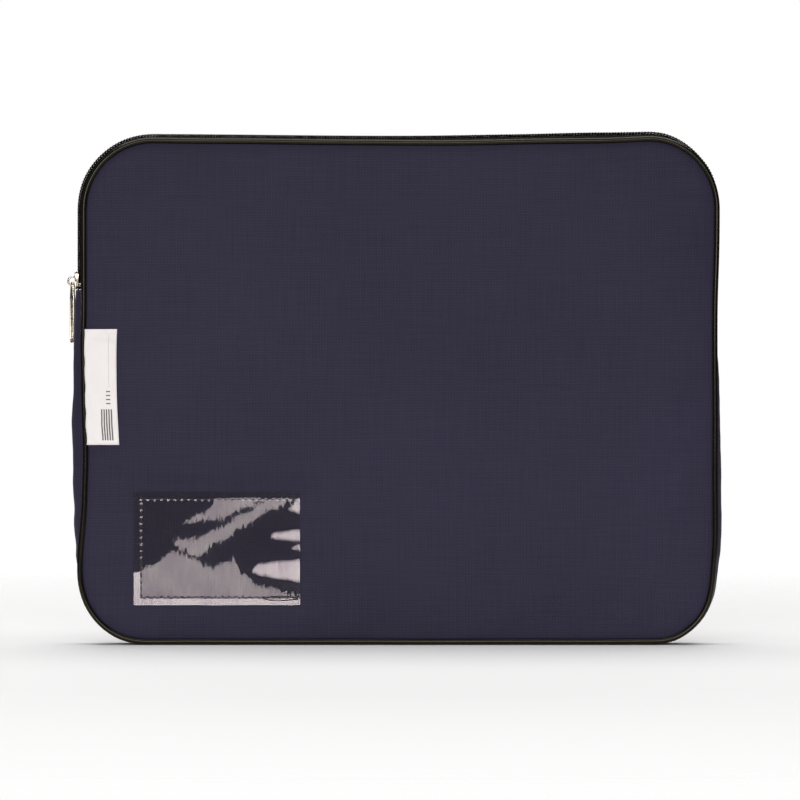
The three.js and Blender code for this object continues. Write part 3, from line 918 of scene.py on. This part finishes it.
# %% Two zip tapes
# Half the slot between the tapes, the coil's height, and the zip's crown along the seam.
TAPE_EDGE = 0.9 * MM
COIL_TALL = 2.1 * MM
ZIP_CROWN = [(distance * MM, crown * MM) for distance, crown in (
    (0, 4.6), (47, 4.6), (64, 5.0), (85, 4.9), (109, 4.5), (250, 4.9), (318, 5.2), (362, 5.6),
    (398, 4.8), (428, 3.0), (456, 1.8), (500.5, 1.4),
)]
TAPE_WIDE = GUSSET_EDGE - TAPE_EDGE


def rise_tape(co):
    """The tape rises from the seam, then lies flat under the coil."""
    crown = eased(ZIP_CROWN, co.x) - COIL_TALL
    share = min(max((GUSSET_EDGE - abs(co.y)) / (TAPE_WIDE * 0.62), 0), 1)
    return Vector((co.x, co.y, -TUCK + (crown + TUCK) * math.sin(share * math.pi / 2) ** 0.9))


def sew_tape(name, side, stands_for):
    middle = side * (GUSSET_EDGE + TAPE_EDGE) / 2
    columns = round(ZIP_LENGTH / (2.4 * MM))
    bm = cut_strip(ZIP_LENGTH, TAPE_WIDE, columns, 9, middle=(ZIP_LENGTH / 2, middle))
    for vert in bm.verts:
        vert.co = rise_tape(vert.co)
    sew_round(bm)
    tape = make_piece(bm, name, [black_tape], stands_for)
    thicken(tape, 0.6 * MM)
    return tape


front_tape = sew_tape("front_tape", -1, [
    "front_zip_tape_left_end", "front_zip_tape_right_end", "front_zip_tape_flap",
])
back_tape = sew_tape("back_tape", 1, ["back_zip_tape"])
fold_at_mouth(front_tape)
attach(back_tape, "root")
print("tape faces:", len(front_tape.data.polygons))

# %% The coil on each tape
# One turn's length, the filament's radius, the helix's middle and half width across the zip.
COIL_PITCH = 1.65 * MM
FILAMENT = 0.36 * MM
COIL_MIDDLE = 1.25 * MM
COIL_HALF = 1.45 * MM
TURN_POINTS = 10


def wind_coil(name, side, stands_for):
    """A flat helix along the tape's edge. The back one is a mirror image, half a turn on."""
    turns = int(ZIP_LENGTH / COIL_PITCH)
    curve = bpy.data.curves.new(name, "CURVE")
    curve.dimensions = "3D"
    curve.bevel_depth = FILAMENT
    curve.bevel_resolution = 1
    curve.use_fill_caps = True
    spline = curve.splines.new("POLY")
    spline.points.add(turns * TURN_POINTS)
    for i, point in enumerate(spline.points):
        turn = i / TURN_POINTS
        along = min((turn + (0.5 if side > 0 else 0)) * COIL_PITCH, ZIP_LENGTH)
        angle = 2 * math.pi * turn
        across = side * (COIL_MIDDLE + COIL_HALF * math.cos(angle))
        crown = eased(ZIP_CROWN, along)
        out = crown - COIL_TALL / 2 + (COIL_TALL / 2 - FILAMENT) * math.sin(angle)
        x, z, out_x, out_z = seam_at(along)
        point.co = (*settle((x + out_x * out, across, z + out_z * out)), 1)
    form = bpy.data.objects.new(name + "_curve", curve)
    bpy.context.collection.objects.link(form)
    graph = bpy.context.evaluated_depsgraph_get()
    mesh = bpy.data.meshes.new_from_object(form.evaluated_get(graph))
    bm = bmesh.new()
    bm.from_mesh(mesh)
    bpy.data.objects.remove(form)
    bpy.data.curves.remove(curve)
    bpy.data.meshes.remove(mesh)
    return make_piece(bm, name, [black_coil], stands_for)


front_coil_winding = wind_coil("front_coil", -1, [
    "front_coil_left_end", "front_coil_right_end", "front_coil_flap",
])
back_coil_winding = wind_coil("back_coil_wound", 1, ["back_coil"])
fold_at_mouth(front_coil_winding)
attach(back_coil_winding, "root")
print("coil faces:", len(front_coil_winding.data.polygons))

# %% [markdown]
# ## The seam bindings
#
# Inside the bag each raw seam is bound with a folded tape. It only shows when the mouth is open.
# The section is a narrow U of three edges, carried along the seam and bent round with it.

# %% Binding on both seams
BINDING_DEEP = 8 * MM


def bind_seam(name, side, stands_for):
    low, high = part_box(stands_for[0])
    outer, inner = max(abs(low.y), abs(high.y)), min(abs(low.y), abs(high.y))
    reach = HALF - high.x
    deep = reach + BINDING_DEEP
    turn = deep - (outer - inner) / 2
    bm = bmesh.new()
    section = [
        (outer, -reach), (outer, -turn), ((outer + inner) / 2, -deep), (inner, -turn),
        (inner, -reach),
    ]
    verts = [bm.verts.new((0, side * y, out)) for y, out in section]
    edges = [bm.edges.new(pair) for pair in zip(verts, verts[1:])]
    bmesh.ops.subdivide_edges(bm, edges=[edges[0], edges[-1]], cuts=2)
    carry(bm, list(bm.edges), ROUTE, round(ROUTE / (5 * MM)))
    mark_flat(bm, lambda co: (co.x, abs(co.y) - co.z))
    for vert in bm.verts:
        vert.co.y += side * 0.25 * MM * noise.noise((vert.co.x * 60, vert.co.z * 90, 1.0))
    sew_round(bm)
    bmesh.ops.remove_doubles(bm, verts=bm.verts, dist=0.05 * MM)
    bmesh.ops.recalc_face_normals(bm, faces=bm.faces)
    piece = make_piece(bm, name, [black_tape], stands_for)
    thicken(piece, 0.4 * MM, inward=0)
    return piece


front_edge_tape = bind_seam("front_edge_tape", -1, ["front_binding", "front_binding_flap"])
back_edge_tape = bind_seam("back_edge_tape", 1, ["back_binding"])
fold_at_mouth(front_edge_tape)
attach(back_edge_tape, "root")
print("binding faces:", len(front_edge_tape.data.polygons))

# %% [markdown]
# ## The slider and its pull
#
# The slider is die-cast, so nothing on it has a sharp edge. The CAD shapes are right but crisp:
# a copy is merged, its flat faces are joined, and every sharp edge is rounded with a bevel. The
# body also gets the two side lips that hold the tapes.

# %% Rounded copies of the cast parts
def round_edges(bm, edges, radius, segments=2):
    bmesh.ops.bevel(
        bm, geom=edges, offset=radius, offset_type="OFFSET", affect="EDGES", segments=segments,
        profile=0.5, material=-1, clamp_overlap=True,
    )


def cast_from(node, radius, segments=2):
    """A copy of a CAD part with its sharp edges rounded."""
    bm = bmesh.new()
    bm.from_mesh(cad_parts[node].data)
    bmesh.ops.remove_doubles(bm, verts=bm.verts, dist=0.002 * MM)
    bmesh.ops.dissolve_limit(bm, angle_limit=math.radians(1.5), verts=bm.verts, edges=bm.edges)
    sharp = [e for e in bm.edges if e.is_manifold and e.calc_face_angle(0) > math.radians(35)]
    round_edges(bm, sharp, radius, segments)
    return bm


# Where a lip's middle lies across the slider, its section, and its share of the body's length.
LIP_Y = 4.15 * MM
LIP_SECTION = (2.3 * MM, 0.8 * MM)
LIP_SHARE = 0.72


def add_lip(bm, side):
    """A folded side lip: a small rounded bar that turns down over the tape."""
    low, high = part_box("slider_body")
    lip = bmesh.ops.create_cube(bm, size=1)["verts"]
    bmesh.ops.scale(bm, vec=(*LIP_SECTION, (high.z - low.z) * LIP_SHARE), verts=lip)
    lean = Matrix.Rotation(side * math.radians(-5), 3, "X")
    bmesh.ops.rotate(bm, cent=(0, 0, 0), matrix=lean, verts=lip)
    middle = (low.x + 1.35 * MM, side * LIP_Y, (low.z + high.z) / 2)
    bmesh.ops.translate(bm, vec=middle, verts=lip)
    round_edges(bm, [edge for edge in bm.edges if edge.verts[0] in lip], 0.35 * MM)


bm = cast_from("slider_body", 0.3 * MM)
for side in (-1, 1):
    add_lip(bm, side)
slider_shell = make_piece(bm, "slider_shell", [nickel], ["slider_body"])
bm = cast_from("slider_bridge", 0.15 * MM, 1)
slider_crown = make_piece(bm, "slider_crown", [nickel], ["slider_bridge"])
bm = cast_from("pull_tab", 0.18 * MM)
pull_leaf = make_piece(bm, "pull_leaf", [nickel], ["pull_tab"])
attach(slider_shell, "slider")
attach(slider_crown, "slider")
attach(pull_leaf, "pull")
print("slider faces:", len(slider_shell.data.polygons), "pull faces:", len(pull_leaf.data.polygons))

# %% [markdown]
# ## The name label
#
# A short piece of satin ribbon, its left edge caught under the piping. It lies on the cloth by
# its own weight, so its free edge lifts a little and throws a thin shadow. A grid with a few
# smooth waves is enough.

# %% The ribbon label
label_low, label_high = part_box("name_label")
LABEL_WIDE = label_high.x - label_low.x
LABEL_TALL = label_high.z - label_low.z
# Off the cloth: the free edge, the ripples, the curled top and the crease just below it.
EDGE_LIFT, RIPPLE, TOP_CURL, CREASE = 1.1 * MM, 0.25 * MM, 0.7 * MM, 0.45 * MM
# In its plane: the bow of the free edge, the sewn edge's waves, and what the piping covers.
BOW, SCALLOP, CAUGHT = 0.6 * MM, 0.25 * MM, 1.2 * MM


def face_front(bm):
    """Turns a sheet's faces so that they look to the front."""
    bmesh.ops.recalc_face_normals(bm, faces=bm.faces)
    if bm.faces[:][0].normal.y > 0:
        bmesh.ops.reverse_faces(bm, faces=bm.faces)


bm = cut_strip(LABEL_WIDE, LABEL_TALL, 16, 48, middle=(LABEL_WIDE / 2, LABEL_TALL / 2))
for vert in bm.verts:
    across, up = vert.co.x / LABEL_WIDE, vert.co.y / LABEL_TALL
    lift = EDGE_LIFT * across ** 2 * (0.6 + 0.4 * math.sin(up * 5.0 + 0.6))
    lift += RIPPLE * math.sin(up * 11 + across * 2.5) * (0.3 + across)
    lift += TOP_CURL * ease(up, 0.93, 1.0) * across
    lift += CREASE * math.exp(-(((up - 0.945 + 0.03 * across) / 0.022) ** 2)) * (0.4 + across)
    bow = -BOW * across * math.sin(up * math.pi)
    scallop = SCALLOP * (1 - across) * math.sin(up * math.pi * 9)
    x = label_low.x + vert.co.x + bow + scallop - CAUGHT * (1 - across)
    vert.co = settle((x, label_high.y - 0.45 * MM - max(lift, 0), label_low.z + vert.co.y))
face_front(bm)
ribbon_label = make_piece(bm, "ribbon_label", [ribbon], ["name_label"])
thicken(ribbon_label, 0.25 * MM)
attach(ribbon_label, "label")
print("label faces:", len(ribbon_label.data.polygons))

# %% [markdown]
# ## The clear window and its stitches
#
# The vinyl is sewn on along three sides and open at the right, for a card. The needle pulls the
# sheet down at each hole, so the skin is dimpled along the seam. Each stitch is a short rounded
# bead of thread. At its lower right end the thread was left long and lies in a flat loose loop.

# %% The vinyl sheet
HOLE = 0.55 * MM
HOLE_DEEP = 0.05 * MM


def dimple(x, z):
    """How far the needle holes draw the sheet in."""
    deepest = 0
    right, up, down = x - SEWN_LEFT, z - SEWN_LOW, z - SEWN_TOP
    for off, along in ((right, up), (down, right), (up, right)):
        if along > -1 * MM and right > -2 * MM and up > -2 * MM and down < 2 * MM:
            deepest = max(deepest, at_hole(off, along, HOLE))
    return HOLE_DEEP * deepest


bm = cut_strip(WINDOW_WIDE, WINDOW_TALL, 250, 170, middle=(WINDOW_WIDE / 2, WINDOW_TALL / 2))
lean = bm.verts.layers.float.new("lean")
for vert in bm.verts:
    x, z = window_low.x + vert.co.x, window_low.z + vert.co.y
    vert[lean] = lean_at(x, z)
    vert.co = (x, window_y(x, z) + dimple(x, z), z)
face_front(bm)
window_sheet = make_piece(bm, "window_sheet", [clear_vinyl], ["card_window"])
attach(window_sheet, "root")
print("window faces:", len(window_sheet.data.polygons))


# %% The stitches
def add_stitch(bm, place, heading, length, radius=0.42 * MM):
    """One stitch: a rounded bead of thread, lying along its heading on the X-Z plane."""
    turn = Matrix.Rotation(-heading, 4, "Y")
    size = Matrix.Diagonal((length / 2, radius, radius, 1))
    bmesh.ops.create_uvsphere(
        bm, u_segments=7, v_segments=5, radius=1, matrix=Matrix.Translation(place) @ turn @ size,
    )


def seam_row(bm, start, end, seed):
    """Stitches from start to end, given as (x, z), each a little out of line."""
    reach = math.dist(start, end)
    count = int(reach / STITCH_PITCH)
    heading = math.atan2(end[1] - start[1], end[0] - start[0])
    for i in range(count):
        share = (i + 0.5) * STITCH_PITCH / reach
        x = start[0] + (end[0] - start[0]) * share
        z = start[1] + (end[1] - start[1]) * share
        wobble = 0.05 * noise.noise((i * 0.9, seed, 0.5))
        place = (x, window_y(x, z) - 0.06 * MM, z)
        add_stitch(bm, place, heading + wobble, 0.56 * STITCH_PITCH)


bm = bmesh.new()
seam_row(bm, (SEWN_LEFT, SEWN_TOP), (SEWN_RIGHT, SEWN_TOP), 1.0)
seam_row(bm, (SEWN_LEFT, SEWN_LOW), (SEWN_LEFT, SEWN_TOP), 2.0)
seam_row(bm, (SEWN_LEFT, SEWN_LOW), (SEWN_RIGHT, SEWN_LOW), 3.0)
# The loose loop is an ellipse of short bits; these are its half axes.
LOOP_BITS = 34
LOOP_WIDE, LOOP_TALL = 9.5 * MM, 1.1 * MM
for i in range(LOOP_BITS):
    turn = 2 * math.pi * i / LOOP_BITS
    x = SEWN_RIGHT - 10.5 * MM + LOOP_WIDE * math.cos(turn)
    z = SEWN_LOW - 0.3 * MM + LOOP_TALL * math.sin(turn)
    heading = math.atan2(LOOP_TALL * math.cos(turn), -LOOP_WIDE * math.sin(turn))
    add_stitch(bm, (x, window_y(x, z) - 0.3 * MM, z), heading, 2.3 * MM, 0.32 * MM)
window_thread = make_piece(
    bm, "window_thread", [black_thread], ["window_stitching"],
)
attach(window_thread, "root")
print("stitch faces:", len(window_thread.data.polygons))

# %% [markdown]
# ## The table, the light and the camera
#
# The bag stands on a plain pale floor in soft studio light. Two wide softboxes hang behind the
# camera, a low one and a brighter high one. The low one starts just above the camera's own height,
# so upright gloss stays dark and gloss that leans back lights up. The world is dim as a light but
# pale to the camera, and the floor fades out towards its rim, so there is no horizon.

# %% Floor
FLOOR_RADIUS = 1.06
SOLID_TO, GONE_FROM = 0.45, 1.05
bm = bmesh.new()
bmesh.ops.create_circle(bm, cap_ends=True, radius=FLOOR_RADIUS, segments=96)
bmesh.ops.translate(bm, vec=(0, 0, -0.3 * MM), verts=bm.verts)
floor_mesh = bpy.data.meshes.new("floor")
bm.to_mesh(floor_mesh)
bm.free()
floor = bpy.data.objects.new("floor", floor_mesh)
bpy.context.collection.objects.link(floor)
material, tree = new_finish("white board, painted")
place = put(tree, "TexCoord").outputs["Object"]
roller = put(tree, "TexNoise", {"Vector": place, "Scale": 500.0, "Detail": 2.0})
relief = put(tree, "Bump", {"Strength": 0.05, "Distance": 0.1 * MM, "Height": roller})
board = put(tree, "BsdfPrincipled", {
    "Base Color": tint("#fdfcfb"), "Roughness": 0.9, "Normal": relief, "Specular IOR Level": 0.1,
})
from_middle = put(tree, "VectorMath", {0: place}, operation="LENGTH").outputs["Value"]
solid = put(tree, "MapRange", {
    "Value": from_middle, "From Min": SOLID_TO, "From Max": GONE_FROM, "To Min": 1.0, "To Max": 0.0,
})
clear = put(tree, "BsdfTransparent")
show(tree, put(tree, "MixShader", {0: solid, 1: clear, 2: board}))
floor_mesh.materials.append(material)
print("stage:", floor.name)


# %% Lights
def hang_softbox(name, place, target, wide, tall, radiance):
    """A softbox whose face has the given brightness. White paint lit fully by 1 shows as white."""
    light = bpy.data.lights.new(name, "AREA")
    light.shape = "RECTANGLE"
    light.size = wide
    light.size_y = tall
    light.energy = radiance * math.pi * wide * tall
    lamp = bpy.data.objects.new(name, light)
    lamp.location = place
    lamp.rotation_euler = (Vector(target) - Vector(place)).to_track_quat("-Z", "Y").to_euler()
    lamp.visible_camera = False
    bpy.context.collection.objects.link(lamp)


hang_softbox("low softbox behind the camera", (-0.3, -2.7, 0.30), (0, 0, 0.25), 1.9, 0.27, 4.0)
hang_softbox("high softbox behind the camera", (-0.3, -2.7, 0.80), (0, 0, 0.60), 1.9, 0.72, 8.2)
hang_softbox("softbox on the left", (-2.2, -1.0, 0.9), (0, 0, 0.1), 1.2, 1.4, 0.20)
hang_softbox("softbox on the right", (2.2, -1.0, 0.9), (0, 0, 0.1), 1.2, 1.4, 0.10)
hang_softbox("softbox overhead", (0, 0.2, 2.2), (0, 0, 0), 2.4, 2.4, 2.7)
hang_softbox("softbox behind the bag", (0, 2.4, 1.0), (0, 0, 0.1), 1.8, 1.2, 1.8)

world = bpy.data.worlds.new("pale studio")
world.use_nodes = True
world.node_tree.nodes.clear()
seen = put(world.node_tree, "LightPath").outputs["Is Camera Ray"]
dim = put(world.node_tree, "Background", {"Color": tint("#d8dbe2"), "Strength": 0.10})
pale = put(world.node_tree, "Background", {"Color": (1, 1, 1, 1), "Strength": 1.0})
sky = put(world.node_tree, "MixShader", {0: seen, 1: dim, 2: pale})
put(world.node_tree, "OutputWorld", {"Surface": sky})
bpy.context.scene.world = world
bpy.context.scene.view_settings.view_transform = "Standard"

print("lights:", len(bpy.data.lights))

# %% Camera
# The view is this wide at the bag's front, and the long lens keeps the perspective flat.
FIELD_WIDE = 0.46
SENSOR = 36
CAMERA_PLACE = Vector((0.3 * MM, -2.5, 140.6 * MM))
camera_data = bpy.data.cameras.new("camera")
camera_data.sensor_width = SENSOR
camera_data.lens = SENSOR / FIELD_WIDE * (-CAMERA_PLACE.y - SEAM_Y)
camera_data.clip_end = 50
camera = bpy.data.objects.new("camera", camera_data)
camera.location = CAMERA_PLACE
camera.rotation_euler = (math.pi / 2, 0, 0)
bpy.context.collection.objects.link(camera)
bpy.context.scene.camera = camera
print(f"lens {camera_data.lens:.1f} mm")
